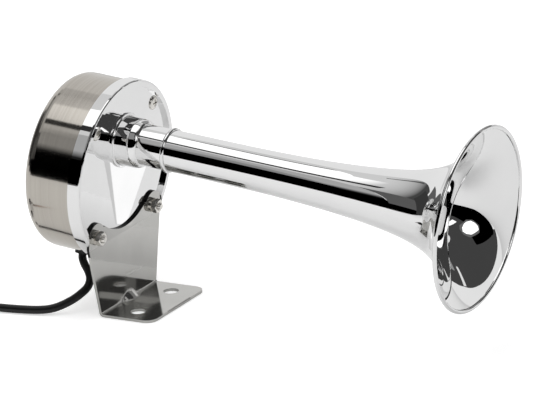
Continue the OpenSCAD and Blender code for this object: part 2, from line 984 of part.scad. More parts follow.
module bolt_washers() {
    ear_front = recess - sheet_t;
    color("silver")
        drum_frame() {
            at_bolts(upper_bolts)
                ring(flange_back, flange_back + washer_t, washer_r, bolt_hole_r);
            at_bolts(lower_bolts)
                ring(ear_front - washer_t, ear_front, washer_r, bolt_hole_r);
        }
}

module bolt_nuts() {
    upper_seat = flange_back + washer_t;
    lower_seat = recess - sheet_t - washer_t;
    color("silver")
        drum_frame() {
            at_bolts(upper_bolts)
                hex_nut(upper_seat, upper_seat + nut_h, nut_af, bolt_r + slip);
            at_bolts(lower_bolts)
                hex_nut(lower_seat - nut_h, lower_seat, nut_af, bolt_r + slip);
        }
}

// Neck and trumpet

module neck() {
    socket_r = tube_r - trumpet_t - slip;
    color("gainsboro")
        horn_frame()
            turned()
                polygon([
                    [neck_bore_r, -face_back - swage_t], [neck_root_r + swage_w, -face_back - swage_t],
                    [neck_root_r + swage_w, -face_back], [neck_root_r, -face_back],
                    [neck_root_r, -recess], [foot_flange_r, -recess],
                    [foot_flange_r, foot_flange_t - recess],
                    [boss_r, foot_flange_t - recess + foot_slope],
                    for (a = [0:15:90])
                        [
                            tube_r + (boss_r - tube_r) * cos(a),
                            boss_x + (shoulder_x - boss_x) * sin(a)
                        ],
                    [tube_r, joint_x], [socket_r, joint_x],
                    [socket_r, joint_x + socket_l], [neck_bore_r, joint_x + socket_l]
                ]);
}

module joint_ring() {
    color("whitesmoke")
        horn_frame()
            turned()
                intersection() {
                    translate([tube_r, joint_x])
                        circle(r = joint_ring_r);
                    translate([tube_r + 2 * slip, joint_x - joint_ring_r])
                        square(2 * joint_ring_r);
                }
}

module trumpet() {
    color("whitesmoke")
        horn_frame()
            turned() {
                polygon([
                    for (i = [0:flare_steps])
                        [trumpet_r(section_x(i)), section_x(i)],
                    for (i = [flare_steps:-1:0])
                        [trumpet_r(section_x(i)) - trumpet_t, section_x(i)]
                ]);
                translate([mouth_r - rim_r, mouth_x - rim_r])
                    circle(r = rim_r);
            }
}

// Cable and wires

module cable_grommet() {
    color("black")
        drum_frame()
            difference() {
                union() {
                    outlet_bar(cover_r - cover_t - grommet_t, cover_r + grommet_t, outlet_r - slip);
                    difference() {
                        outlet_bar(cover_r - 3, cover_r + grommet_t, grommet_r);
                        disc(0, cover_back, cover_r + slip);
                    }
                }
                outlet_bar(bowl_r, cable_start_r, 2 * wire_r + wire_gap / 2 + slip);
                outlet_bar(cable_start_r, cover_r + grommet_t + 1, cable_r + slip);
            }
}

// Wires in the drum, as points in the drum's frame: from the cable to a tag and the fixed arm,
// and from the other tag to the blade
function outlet_point(r, side) =
    [
        -outlet_depth + side * (wire_r + wire_gap / 2),
        -r * sin(outlet_angle), -r * cos(outlet_angle)
    ];
function tag_point(a) =
    [-yoke_front + bobbin_t / 2 + tag_t / 2 + wire_r,
        (bobbin_r + tag_l / 2) * cos(a), (bobbin_r + tag_l / 2) * sin(a)];

module wire(points) {
    tube(points, wire_r, wire_sides, [1, 1, 1]);
}

module inner_wires() {
    color("firebrick")
        drum_frame() {
            wire([
                outlet_point(cable_start_r, -1), outlet_point(bowl_r - 4, -1),
                [-outlet_depth - 4, -18, -20], tag_point(tag_angles[0])
            ]);
            wire([
                outlet_point(cable_start_r, 1), outlet_point(bowl_r - 4, 1),
                [-arm_front - 3, 6, -24], [-arm_front - arm_t / 2, arm_wire_y, -9],
                [-arm_front - arm_t / 2, arm_wire_y, -blade_w / 2]
            ]);
            wire([
                tag_point(tag_angles[1]), [-blade_depth - 6, point_y, -7],
                [-blade_depth - blade_t - wire_r, block_y - wire_r - wire_gap, -blade_w / 2 + wire_r]
            ]);
        }
}

module cable() {
    color("black")
        tube(route, cable_r, cable_sides, [0, 1, 0]);
}

module cable_coil() {
    color("black")
        tube(coil_path, cable_r, coil_sides, [0, 0, 1]);
}

// A flat tie round the coil's turns, where its rings line up
module tie_outline(r) {
    hull()
        for (k = [0:2])
            translate([coil_r(tie_turn + k), coil_z(tie_turn + k)])
                circle(r = r);
}

module coil_tie() {
    color("black")
        translate([coil_centre.x, coil_centre.y, 0])
            rotate([0, 0, 90 + 360 * tie_turn])
                translate([0, tie_w / 2, 0])
                    rotate([90, 0, 0])
                        linear_extrude(tie_w)
                            difference() {
                                tie_outline(cable_r + tie_gap + tie_t);
                                tie_outline(cable_r + tie_gap);
                            }
}

module cable_tail() {
    color("black")
        tube(tail, cable_r, cable_sides, [0, 0, 1]);
}

// The two wires lie side by side past the end of the sheath
module lead_pair(start, end, r) {
    last = tail[len(tail) - 1];
    for (side = [-1, 1])
        translate(last + [start, side * (wire_r + wire_gap / 2), 0])
            rotate([0, 90, 0])
                cylinder(h = end - start, r = r);
}

module lead_ends() {
    color("firebrick")
        lead_pair(0, lead_l, wire_r);
}

module bare_ends() {
    color("peru")
        lead_pair(lead_l, lead_l + bare_l, bare_r);
}

bracket();
front_housing();
rear_cover();
front_gasket();
diaphragm();
rear_gasket();
magnet_bowl();
magnet_yoke();
pole_core();
core_nut();
coil_bobbin();
coil_winding();
solder_tags();
armature();
armature_rivet();
push_pin();
contact_block();
contact_blade();
blade_spacer();
fixed_arm();
clamp_cap();
clamp_screws();
fixed_point();
moving_point();
tuning_screw();
tuning_locknut();
cover_screw();
housing_bolts();
bracket_bolts();
bolt_washers();
bolt_nuts();
neck();
joint_ring();
trumpet();
cable_grommet();
inner_wires();
cable();
cable_coil();
coil_tie();
cable_tail();
lead_ends();
bare_ends();
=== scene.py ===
import json
import math

import bpy
from mathutils import Matrix, Vector


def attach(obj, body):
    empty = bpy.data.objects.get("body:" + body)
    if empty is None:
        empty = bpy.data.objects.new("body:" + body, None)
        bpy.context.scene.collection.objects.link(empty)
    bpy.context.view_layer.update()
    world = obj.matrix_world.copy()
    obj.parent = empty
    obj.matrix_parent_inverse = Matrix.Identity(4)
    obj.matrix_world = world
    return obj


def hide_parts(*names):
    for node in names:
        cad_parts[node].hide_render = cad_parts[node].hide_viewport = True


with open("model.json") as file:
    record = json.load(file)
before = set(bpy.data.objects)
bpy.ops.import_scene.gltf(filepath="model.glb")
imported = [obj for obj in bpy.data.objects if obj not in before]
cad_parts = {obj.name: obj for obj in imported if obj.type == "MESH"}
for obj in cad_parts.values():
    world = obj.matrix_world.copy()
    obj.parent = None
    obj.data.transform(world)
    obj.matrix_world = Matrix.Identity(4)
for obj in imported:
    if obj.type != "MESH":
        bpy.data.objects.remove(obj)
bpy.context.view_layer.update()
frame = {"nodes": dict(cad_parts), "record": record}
nodes = frame["nodes"]
scene = bpy.context.scene
scene.view_settings.view_transform = "Standard"

# Sizes of the horn's pieces are in mm; its place, camera, materials and stage are in metres
MM = 0.001
# The horn's frame: X along the trumpet, origin on its axis at the drum's lip
DROOP = math.radians(5.5)
HORN_PLACE = Vector((-0.01051, 0, 0.091499))
HORN = Matrix.Translation(HORN_PLACE) @ Matrix.Rotation(DROOP, 4, "Y")
TRUMPET_RISE = 17


def in_world(point):
    """World mm from a point in the horn's frame, in mm."""
    return HORN @ (Vector(point) * MM) / MM


# Camera

CAMERA_PLACE = Vector((1.218412, -1.96135, 0.814169))
CAMERA_RIGHT = Vector((0.871557, 0.487443, -0.052804))
CAMERA_UP = Vector((-0.108908, 0.29748, 0.948496))
CAMERA_BACK = Vector((0.478046, -0.820917, 0.312357))
LENS, SENSOR, PICTURE = 300.2, 36, (542, 400)


def make_camera():
    data = bpy.data.cameras.new("camera")
    data.sensor_width = SENSOR
    data.lens = LENS
    data.clip_start = 0.05
    data.clip_end = 30
    camera = bpy.data.objects.new("camera", data)
    scene.collection.objects.link(camera)
    turn = Matrix((CAMERA_RIGHT, CAMERA_UP, CAMERA_BACK)).transposed().to_4x4()
    camera.matrix_world = Matrix.Translation(CAMERA_PLACE) @ turn
    scene.camera = camera


make_camera()


# Cable

CABLE_D, CABLE_START_R = 4.5, 46.9
OUTLET_DEPTH, OUTLET_ANGLE = 19, math.radians(15)
COIL_X, COIL_Y, COIL_R = -130, -67, 25
COIL_PITCH, COIL_CLIMB, FLOOR_GAP = 5.2, 5, 0.8
COIL_TURNS, TURNS_INWARD, COIL_RINGS = 2.25, 1.25, 72
ROUTE = [
    (-34.3, -14.3, 23.5), (-31.7, -15, 19.8), (-29.9, -16.5, 16), (-29.8, -19.5, 12.4),
    (-32.2, -24, 9.2), (-36, -29, 6.4), (-42.3, -34, 3.7), (-49.9, -37.2, 2.6), (-62, -39.7, 2.3),
    (-76, -41.4, 2.3), (-92, -42, 2.6), (-108, -42, 3.05), (-125.5, -42, 3.05),
]
TAIL = [
    (-153.7, -71.5, 8.05), (-153.7, -76, 8.05), (-152.6, -83.5, 6.1), (-148.8, -90.5, 3.6),
    (-142.5, -96.3, 2.3), (-135, -99.4, 2.3), (-128, -100, 2.3), (-123.5, -100, 2.3),
]


def outlet_point(r):
    """A point on the outlet's axis, r mm from the drum's axis, in world mm."""
    side, down = r * math.sin(OUTLET_ANGLE), r * math.cos(OUTLET_ANGLE)
    return in_world((-OUTLET_DEPTH, -side, -down - TRUMPET_RISE))


def coil_point(t):
    """A point t turns along the coil: in along the floor, up a layer in half a turn, then out."""
    radius = COIL_R - COIL_PITCH * (t if t < TURNS_INWARD else 2 * TURNS_INWARD - t)
    angle = math.radians(90 + 360 * t)
    height = CABLE_D / 2 + FLOOR_GAP + COIL_CLIMB * min(max(2 * (t - 1), 0), 1)
    return Vector((COIL_X + radius * math.cos(angle), COIL_Y + radius * math.sin(angle), height))


def through(points, steps=6):
    """Points on a smooth curve through the given ones."""
    ends = [points[0] * 2 - points[1], *points, points[-1] * 2 - points[-2]]
    made = []
    for a, b, c, d in zip(ends, ends[1:], ends[2:], ends[3:]):
        for k in range(steps):
            t = k / steps
            made.append(0.5 * (2 * b + (c - a) * t + (2 * a - 5 * b + 4 * c - d) * t ** 2
                               + (3 * b - a - 3 * c + d) * t ** 3))
    return made + [points[-1]]


def cable_points():
    route = [outlet_point(CABLE_START_R), outlet_point(CABLE_START_R + CABLE_D)]
    route += [Vector(p) for p in ROUTE]
    coil = [coil_point(i / COIL_RINGS) for i in range(int(COIL_TURNS * COIL_RINGS) + 1)]
    tail = [Vector(p) for p in TAIL]
    return [p * MM for p in through(route) + coil + through(tail)]


def poly_curve(name, points, radius, sides=6):
    """A tube; its points carry the radius, so that the curve's box has the tube's true size."""
    data = bpy.data.curves.new(name, "CURVE")
    data.dimensions = "3D"
    data.bevel_depth = 1
    data.bevel_resolution = sides
    data.use_fill_caps = True
    spline = data.splines.new("POLY")
    spline.points.add(len(points) - 1)
    for target, point in zip(spline.points, points):
        target.co = (*point, 1)
        target.radius = radius
    spline.use_smooth = True
    obj = bpy.data.objects.new(name, data)
    scene.collection.objects.link(obj)
    return obj


cable_line = cable_points()
cable = poly_curve("cable_line", cable_line, CABLE_D / 2 * MM)
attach(cable, "horn")
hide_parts("cable", "cable_coil", "cable_tail")


# Materials

def plain_nodes(name):
    """A new material, its node tree and its shader."""
    made = bpy.data.materials.new(name)
    made.use_nodes = True
    tree = made.node_tree
    return made, tree, tree.nodes["Principled BSDF"]


def wire(tree, source, target):
    tree.links.new(source, target)


def object_point(tree):
    return tree.nodes.new("ShaderNodeTexCoord").outputs["Object"]


def horn_point(tree):
    """The shading point in the horn's frame, in metres."""
    mapping = tree.nodes.new("ShaderNodeMapping")
    mapping.vector_type = "TEXTURE"
    mapping.inputs["Location"].default_value = HORN_PLACE
    mapping.inputs["Rotation"].default_value = (0, DROOP, 0)
    wire(tree, object_point(tree), mapping.inputs["Vector"])
    return mapping.outputs["Vector"]


def scaled(tree, vector, scale):
    mapping = tree.nodes.new("ShaderNodeMapping")
    mapping.inputs["Scale"].default_value = scale
    wire(tree, vector, mapping.inputs["Vector"])
    return mapping.outputs["Vector"]


def parts_of(tree, vector):
    """The X, Y and Z of a vector."""
    node = tree.nodes.new("ShaderNodeSeparateXYZ")
    wire(tree, vector, node.inputs[0])
    return [node.outputs[axis] for axis in "XYZ"]


def noise(tree, vector, scale, detail, roughness=0.55):
    node = tree.nodes.new("ShaderNodeTexNoise")
    node.inputs["Scale"].default_value = scale
    node.inputs["Detail"].default_value = detail
    node.inputs["Roughness"].default_value = roughness
    wire(tree, vector, node.inputs["Vector"])
    return node.outputs["Fac"]


def math_node(tree, operation, a, b=0.0):
    node = tree.nodes.new("ShaderNodeMath")
    node.operation = operation
    for value, socket in ((a, node.inputs[0]), (b, node.inputs[1])):
        if isinstance(value, (int, float)):
            socket.default_value = value
        else:
            wire(tree, value, socket)
    return node.outputs[0]


# Noise seldom leaves this range, so that it is spread over the whole of a look
NOISE_LOW, NOISE_HIGH = 0.3, 0.7


def spread(tree, factor, low, high, start=NOISE_LOW, end=NOISE_HIGH):
    """Maps a factor from start..end to low..high."""
    node = tree.nodes.new("ShaderNodeMapRange")
    for name, value in (("From Min", start), ("From Max", end), ("To Min", low), ("To Max", high)):
        node.inputs[name].default_value = value
    wire(tree, factor, node.inputs["Value"])
    return node.outputs["Result"]


def two_colours(tree, factor, low, high):
    ramp = tree.nodes.new("ShaderNodeValToRGB")
    first, last = ramp.color_ramp.elements
    first.position, last.position = NOISE_LOW, NOISE_HIGH
    first.color, last.color = (*low, 1), (*high, 1)
    wire(tree, factor, ramp.inputs["Fac"])
    return ramp.outputs["Color"]


def bump(tree, shader, height, distance):
    """Bumps of a given depth; returns the bump node."""
    node = tree.nodes.new("ShaderNodeBump")
    node.inputs["Strength"].default_value = 1
    node.inputs["Distance"].default_value = distance
    wire(tree, height, node.inputs["Height"])
    wire(tree, node.outputs["Normal"], shader.inputs["Normal"])
    return node


def grained(name, low, high, rough, grain, depth, drift, metallic=0):
    """A look whose colour drifts between two, with its grain in the roughness and as bumps."""
    made, tree, shader = plain_nodes(name)
    shader.inputs["Metallic"].default_value = metallic
    place = object_point(tree)
    broad = noise(tree, place, *drift)
    fine = noise(tree, place, grain, 3)
    wire(tree, two_colours(tree, broad, low, high), shader.inputs["Base Color"])
    wire(tree, spread(tree, fine, *rough), shader.inputs["Roughness"])
    bump(tree, shader, fine, depth)
    return made


# A broad drift of colour: noise scale and detail
METAL_DRIFT, PLASTIC_DRIFT = (45, 3), (120, 4)
# The bracket's cut edges are duller from this height up, and coloured near black there as painted shade;
# the lower ones stay bright
DULL_SHADED_EDGE_FROM, CUT_EDGE_ROUGHER = 0.036, 0.3
# The pressed rib lies within these, and is shaded rounder than the other edges
RIB_HALF_WIDTH, RIB_TOP = 0.012, 0.009
EDGE_ROUNDING, RIB_ROUNDING = 0.0002, 0.0018
# Sockets of a colour mix, which share their names with its other kinds
MIX_FACTOR, MIX_LOW, MIX_HIGH, MIX_RESULT = 0, 6, 7, 2


def cut_sheet(name, low, high, edge, rough):
    """Satin sheet: fine lines up its faces, duller cut edges with painted shade on the upper ones, and a
    soft rib.
    """
    made, tree, shader = plain_nodes(name)
    shader.inputs["Metallic"].default_value = 1
    place = object_point(tree)
    fine = noise(tree, scaled(tree, place, (40, 40, 1.5)), 60, 3)
    broad = noise(tree, place, *METAL_DRIFT)
    normal = tree.nodes.new("ShaderNodeNewGeometry").outputs["Normal"]
    forward = parts_of(tree, normal)[0]
    _, y, z = parts_of(tree, place)
    sideways = math_node(tree, "LESS_THAN", math_node(tree, "ABSOLUTE", forward), 0.5)
    above = math_node(tree, "GREATER_THAN", z, DULL_SHADED_EDGE_FROM)
    cut = math_node(tree, "MULTIPLY", sideways, above)
    # Painted shade: the upper cut edges take the near-black edge colour
    blend = tree.nodes.new("ShaderNodeMix")
    blend.data_type = "RGBA"
    wire(tree, cut, blend.inputs[MIX_FACTOR])
    wire(tree, two_colours(tree, broad, low, high), blend.inputs[MIX_LOW])
    blend.inputs[MIX_HIGH].default_value = (*edge, 1)
    wire(tree, blend.outputs[MIX_RESULT], shader.inputs["Base Color"])
    rougher = math_node(tree, "MULTIPLY", cut, CUT_EDGE_ROUGHER)
    wire(tree, math_node(tree, "ADD", spread(tree, fine, *rough), rougher), shader.inputs["Roughness"])
    near_middle = math_node(tree, "LESS_THAN", math_node(tree, "ABSOLUTE", y), RIB_HALF_WIDTH)
    low_down = math_node(tree, "LESS_THAN", z, RIB_TOP)
    on_rib = math_node(tree, "MULTIPLY", near_middle, low_down)
    added = math_node(tree, "MULTIPLY", on_rib, RIB_ROUNDING)
    rounding = tree.nodes.new("ShaderNodeBevel")
    rounding.samples = 8
    wire(tree, math_node(tree, "ADD", added, EDGE_ROUNDING), rounding.inputs["Radius"])
    bumps = bump(tree, shader, fine, 2e-6)
    wire(tree, rounding.outputs["Normal"], bumps.inputs["Normal"])
    return made


def spun_metal(name, low, high, rough, depth, line_scale=60):
    """Fine lines round the drum: rings on its side and circles on its back."""
    made, tree, shader = plain_nodes(name)
    shader.inputs["Metallic"].default_value = 1
    x, y, z = parts_of(tree, horn_point(tree))
    height = math_node(tree, "ADD", z, TRUMPET_RISE * MM)
    squares = [math_node(tree, "POWER", value, 2) for value in (y, height)]
    radius = math_node(tree, "POWER", math_node(tree, "ADD", *squares), 0.5)
    lines = tree.nodes.new("ShaderNodeCombineXYZ")
    wire(tree, math_node(tree, "MULTIPLY", x, line_scale), lines.inputs["X"])
    wire(tree, math_node(tree, "MULTIPLY", radius, line_scale), lines.inputs["Y"])
    wire(tree, y, lines.inputs["Z"])
    fine = noise(tree, lines.outputs[0], 120, 5, 0.7)
    broad = noise(tree, lines.outputs[0], 14, 3)
    wire(tree, two_colours(tree, broad, low, high), shader.inputs["Base Color"])
    wire(tree, spread(tree, fine, *rough), shader.inputs["Roughness"])
    bump(tree, shader, fine, depth)
    round_axis = tree.nodes.new("ShaderNodeTangent")
    round_axis.direction_type = "RADIAL"
    round_axis.axis = "X"
    shader.inputs["Anisotropic"].default_value = 0.7
    shader.inputs["Anisotropic Rotation"].default_value = 0.25
    wire(tree, round_axis.outputs["Tangent"], shader.inputs["Tangent"])
    return made


# Both tables: two colours, least and most roughness, and the grain's scale and depth
METALS = {
    "polished_steel": ((0.86, 0.86, 0.86), (0.89, 0.89, 0.89), (0.02, 0.035), 400, 2e-7),
    "chrome": ((0.87, 0.87, 0.87), (0.9, 0.9, 0.9), (0.012, 0.025), 400, 1e-7),
    "plated_fasteners": ((0.74, 0.72, 0.68), (0.84, 0.82, 0.78), (0.16, 0.26), 1500, 1e-6),
    "spring_steel": ((0.42, 0.43, 0.45), (0.52, 0.53, 0.55), (0.2, 0.3), 900, 2e-6),
    "soft_iron": ((0.22, 0.22, 0.23), (0.3, 0.3, 0.31), (0.35, 0.5), 600, 8e-6),
    "copper": ((0.55, 0.24, 0.11), (0.72, 0.36, 0.18), (0.22, 0.35), 900, 4e-6),
    "brass": ((0.62, 0.46, 0.2), (0.74, 0.57, 0.28), (0.18, 0.3), 900, 4e-6),
    "spring_brass": ((0.6, 0.42, 0.2), (0.7, 0.5, 0.26), (0.2, 0.3), 900, 4e-6),
    "contact_metal": ((0.5, 0.5, 0.52), (0.62, 0.62, 0.64), (0.25, 0.4), 900, 2e-6),
}
PLASTICS = {
    "painted_steel": ((0.015, 0.015, 0.016), (0.03, 0.03, 0.032), (0.3, 0.45), 500, 2e-5),
    "gasket_rubber": ((0.012, 0.012, 0.012), (0.03, 0.03, 0.03), (0.55, 0.75), 700, 1e-5),
    "bobbin_plastic": ((0.68, 0.66, 0.56), (0.78, 0.76, 0.68), (0.35, 0.5), 700, 1e-5),
    "insulator": ((0.18, 0.08, 0.035), (0.28, 0.14, 0.07), (0.4, 0.6), 700, 1e-5),
    "wire_insulation": ((0.045, 0.01, 0.01), (0.07, 0.016, 0.014), (0.3, 0.42), 700, 1e-5),
    "cable_sheath": ((0.0015, 0.0015, 0.0018), (0.004, 0.004, 0.0045), (0.34, 0.44), 900, 1e-5),
    "tie_nylon": ((0.6, 0.59, 0.55), (0.7, 0.69, 0.65), (0.4, 0.5), 700, 1e-5),
}
looks = {name: grained(name, *row, drift=METAL_DRIFT, metallic=1) for name, row in METALS.items()}
looks.update({name: grained(name, *row, drift=PLASTIC_DRIFT) for name, row in PLASTICS.items()})
# The near-black edge colour is painted shade on the bracket's upper cut edges
looks["satin_steel"] = cut_sheet("satin_steel", (0.52, 0.515, 0.495), (0.56, 0.555, 0.535),
                                 (0.02, 0.02, 0.02), (0.07, 0.11))
looks["brushed_cover"] = spun_metal("brushed_cover", (0.49, 0.46, 0.415), (0.55, 0.52, 0.475),
                                    (0.09, 0.13), 3e-7)

for row in frame["record"]["subparts"]:
    node = nodes[row["node"]]
    node.data.materials.clear()
    node.data.materials.append(looks[row["material_slot"]])
cable.data.materials.append(looks["cable_sheath"])


# Pieces turned on a lathe

def piece(name, points, faces, slot, *replaced, sharp=30):
    """A mesh given in world mm, with its material; it stands for the CAD nodes it replaces."""
    mesh = bpy.data.meshes.new(name)
    mesh.from_pydata([Vector(p) * MM for p in points], [], faces)
    mesh.validate()
    mesh.update()
    mesh.shade_smooth()
    mesh.set_sharp_from_angle(angle=math.radians(sharp))
    obj = bpy.data.objects.new(name, mesh)
    scene.collection.objects.link(obj)
    mesh.materials.append(looks[slot])
    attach(obj, "horn")
    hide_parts(*replaced)


def ring_faces(count, size):
    """Faces between rings of points, the last ring joined to the first."""
    faces = []
    for k in range(count):
        a, b = k * size, (k + 1) % count * size
        for i in range(size):
            j = (i + 1) % size
            faces.append((a + i, b + i, b + j, a + j))
    return faces


def turned(profile, centre=(0, 0), segments=160):
    """Points and faces of a closed [radius, x] profile turned round an axis along X."""
    points = []
    for k in range(segments):
        angle = 2 * math.pi * k / segments
        for r, x in profile:
            y, z = centre[0] + r * math.cos(angle), centre[1] + r * math.sin(angle)
            points.append(in_world((x, y, z)))
    return points, ring_faces(segments, len(profile))


def arc(centre, radius, start, end, steps):
    """Points [radius, x] on an arc; angles in degrees from the outward direction."""
    made = []
    for i in range(steps + 1):
        angle = math.radians(start + (end - start) * i / steps)
        made.append((centre[0] + radius * math.cos(angle), centre[1] + radius * math.sin(angle)))
    return made


TUBE_R, TRUMPET_T, JOINT_X = 11.3, 0.9, 27.6
MOUTH_R, MOUTH_X, RIM_R = 50, 211.5, 1.2
SLOW_SHARE, SLOW_POWER, QUICK_POWER = 0.4, 3.4, 15.4
RIM_JOIN_ANGLE, RIM_STEPS = 12, 28


def trumpet_r(x):
    """The flare's radius outside: a slow and a quick widening, mixed."""
    t = (x - JOINT_X) / (MOUTH_X - RIM_R - JOINT_X)
    flare = SLOW_SHARE * t ** SLOW_POWER + (1 - SLOW_SHARE) * t ** QUICK_POWER
    return TUBE_R + (MOUTH_R - RIM_R - TUBE_R) * flare


def trumpet_profile(steps=150, crowding=1.8):
    """Out along the wall, round the rolled edge, and back inside; points crowd at the edge."""
    rim = (MOUTH_R - RIM_R, MOUTH_X - RIM_R)
    shares = [1 - (1 - i / steps) ** crowding for i in range(steps + 1)]
    places = [JOINT_X + (rim[1] - JOINT_X) * share for share in shares]
    outer = [(trumpet_r(x), x) for x in places]
    inner = [(r - TRUMPET_T, x) for r, x in outer]
    clear = RIM_R * 1.02
    outside = [p for p in outer if math.dist(p, rim) > clear]
    inside = [p for p in inner if math.dist(p, rim) > clear]
    first = math.degrees(math.atan2(outside[-1][1] - rim[1], outside[-1][0] - rim[0]))
    last = math.degrees(math.atan2(inside[-1][1] - rim[1], inside[-1][0] - rim[0]))
    while last < first:
        last += 360
    edge = arc(rim, RIM_R, first + RIM_JOIN_ANGLE, last - RIM_JOIN_ANGLE, RIM_STEPS)
    return outside + edge + inside[::-1]


piece("trumpet_bell", *turned(trumpet_profile(), segments=256), "chrome", "trumpet")


BOSS_R, BOSS_X, SHOULDER_X = 13.5, 6.2, 11.7
RECESS, FACE_BACK = 2, 3.2
NECK_BORE_R, NECK_ROOT_R, SWAGE_W, SWAGE_T = 8, 9, 0.9, 0.5
FOOT_R, FOOT_T, FOOT_ROUND, FOOT_SLOPE = 15, 1, 0.3, 0.05
FILLET_W, FILLET_H = 0.5, 0.55
SOCKET_L, SLIP, SOCKET_CUT, BORE_CUT = 10, 0.05, 0.4, 0.3
RING_R, RING_SIDE, RING_SEAT = 1.1, 1.095, 0.1


def neck_profile(shoulder_steps=24):
    """Round the swaged root, up the foot and the boss, over the shoulder and along the tube."""
    swage_r, swage_x = NECK_ROOT_R + SWAGE_W, -FACE_BACK - SWAGE_T
    made = [(NECK_BORE_R, swage_x), (swage_r, swage_x), (swage_r, -FACE_BACK), (NECK_ROOT_R, -FACE_BACK),
            (NECK_ROOT_R, -RECESS), (FOOT_R, -RECESS)]
    foot_x = FOOT_T - RECESS
    made += arc((FOOT_R - FOOT_ROUND, foot_x - FOOT_ROUND), FOOT_ROUND, 0, 90, 4)
    for a in (0.3, 0.7, 1.1, 1.5):
        made.append((BOSS_R + FILLET_W * (1 - math.sin(a)),
                     foot_x + FOOT_SLOPE + FILLET_H * (1 - math.cos(a))))
    for i in range(shoulder_steps + 1):
        a = math.radians(90 * i / shoulder_steps)
        made.append((TUBE_R + (BOSS_R - TUBE_R) * math.cos(a),
                     BOSS_X + (SHOULDER_X - BOSS_X) * math.sin(a)))
    socket_r, end_x = TUBE_R - TRUMPET_T - SLIP, JOINT_X + SOCKET_L
    made += [(TUBE_R, JOINT_X), (socket_r, JOINT_X), (socket_r, end_x - SOCKET_CUT)]
    made += [(socket_r - SOCKET_CUT, end_x), (NECK_BORE_R + BORE_CUT, end_x)]
    return made + [(NECK_BORE_R, end_x - BORE_CUT)]


def ring_profile():
    """A half-round ring over the joint of neck and trumpet."""
    made = [(TUBE_R + RING_SEAT, JOINT_X - RING_SIDE)]
    made += arc((TUBE_R, JOINT_X), RING_R, -84, 84, 20)
    return made + [(TUBE_R + RING_SEAT, JOINT_X + RING_SIDE)]


piece("neck_turned", *turned(neck_profile(), segments=192), "chrome", "neck")
piece("ring_turned", *turned(ring_profile(), segments=192), "chrome", "joint_ring")


# Nuts and bolts

BOLT_CIRCLE, UPPER, LOWER = 41.7, (45, 135), (225, 315)
BOLT_R, BOLT_END, FLANGE_BACK = 2, 1.4, 6.8
THREAD, THREAD_DEPTH, TIP_CUT, TIP_SLOPE = 0.7, 0.32, 0.45, 0.9
HEAD_R, HEAD_H, HEAD_CUT = 3.8, 2.6, 0.4
NUT_AF, NUT_H, NUT_HOLE_R, NUT_HOLE_CUT = 7, 3.2, 2.05, 0.25
NUT_CORNER_CUT, NUT_FLAT_CUT, NUT_FACE_SHARE = 0.45, 0.05, 0.99
WASHER_T, SHEET, HOLE_SETBACK = 0.8, 1.5, 16


def bolt_centre(angle):
    a = math.radians(angle)
    return BOLT_CIRCLE * math.cos(a), BOLT_CIRCLE * math.sin(a) - TRUMPET_RISE


def hex_nut(back, centre, segments=72):
    """A nut with chamfered corners and hole, with its back at x = back."""
    front, flat, sixth = back + NUT_H, NUT_AF / 2, math.pi / 3
    corner = flat / math.cos(sixth / 2)
    face_r, hole_edge = flat * NUT_FACE_SHARE, NUT_HOLE_R + NUT_HOLE_CUT
    points = []
    for k in range(segments):
        a = 2 * math.pi * k / segments
        side_r = flat / math.cos((a + sixth / 2) % sixth - sixth / 2)
        cut = (side_r - flat) / (corner - flat) * NUT_CORNER_CUT + NUT_FLAT_CUT
        outline = [(hole_edge, back), (face_r, back), (side_r, back + cut), (side_r, front - cut),
                   (face_r, front), (hole_edge, front), (NUT_HOLE_R, front - NUT_HOLE_CUT),
                   (NUT_HOLE_R, back + NUT_HOLE_CUT)]
        for r, x in outline:
            y, z = centre[0] + r * math.sin(a), centre[1] - r * math.cos(a)
            points.append(in_world((x, y, z)))
    return points, ring_faces(segments, len(outline))


def threaded(start, end, plain_to, centre, segments=32):
    """A shank along X, smooth as far as plain_to, then with a helical thread."""
    points, faces = [], []
    steps = round((end - start) / (THREAD / 6))
    for i in range(steps + 1):
        x = start + (end - start) * i / steps
        for k in range(segments):
            turn = k / segments
            depth = 0
            if x > plain_to:
                depth = THREAD_DEPTH * abs(2 * ((x / THREAD + turn) % 1) - 1)
            r = min(BOLT_R - depth, BOLT_R - TIP_CUT + (end - x) * TIP_SLOPE)
            y = centre[0] + r * math.cos(2 * math.pi * turn)
            z = centre[1] + r * math.sin(2 * math.pi * turn)
            points.append(in_world((x, y, z)))
    for i in range(steps):
        for k in range(segments):
            a, b = i * segments + k, i * segments + (k + 1) % segments
            faces.append((a, b, b + segments, a + segments))
    faces.append(tuple(range(segments))[::-1])
    faces.append(tuple(range(steps * segments, (steps + 1) * segments)))
    return points, faces


def joined(parts):
    points, faces = [], []
    for more_points, more_faces in parts:
        shift = len(points)
        points += more_points
        faces += [tuple(i + shift for i in face) for face in more_faces]
    return points, faces


ear_front = SHEET - RECESS
nut_back = ear_front + WASHER_T
flange_nut_back = -FLANGE_BACK - WASHER_T - NUT_H
parts = [hex_nut(nut_back, bolt_centre(a)) for a in LOWER]
parts += [hex_nut(flange_nut_back, bolt_centre(a)) for a in UPPER]
piece("cut_nuts", *joined(parts), "plated_fasteners", "bolt_nuts", sharp=20)

bolt_front = nut_back + NUT_H + BOLT_END
head_back = -FLANGE_BACK - HEAD_H
head = [(0, head_back), (HEAD_R - HEAD_CUT, head_back), (HEAD_R, head_back + HEAD_CUT),
        (HEAD_R, -FLANGE_BACK), (0, -FLANGE_BACK)]
parts = [threaded(-FLANGE_BACK, bolt_front, ear_front, bolt_centre(a)) for a in LOWER]
parts += [turned(head, bolt_centre(a), 64) for a in LOWER]
piece("threaded_bolts", *joined(parts), "plated_fasteners", "bracket_bolts")


# Stage and light

BLACK, WHITE = (0, 0, 0, 1), (1, 1, 1, 1)
WALL_Y, END_X, CEILING_Z = -0.78, -2, 1.19
FACE_TO_CARD, CORNER_TO_CARD = 0.09, 0.04
BELL_MIDDLE = Vector((0.19, 0, 0.07))


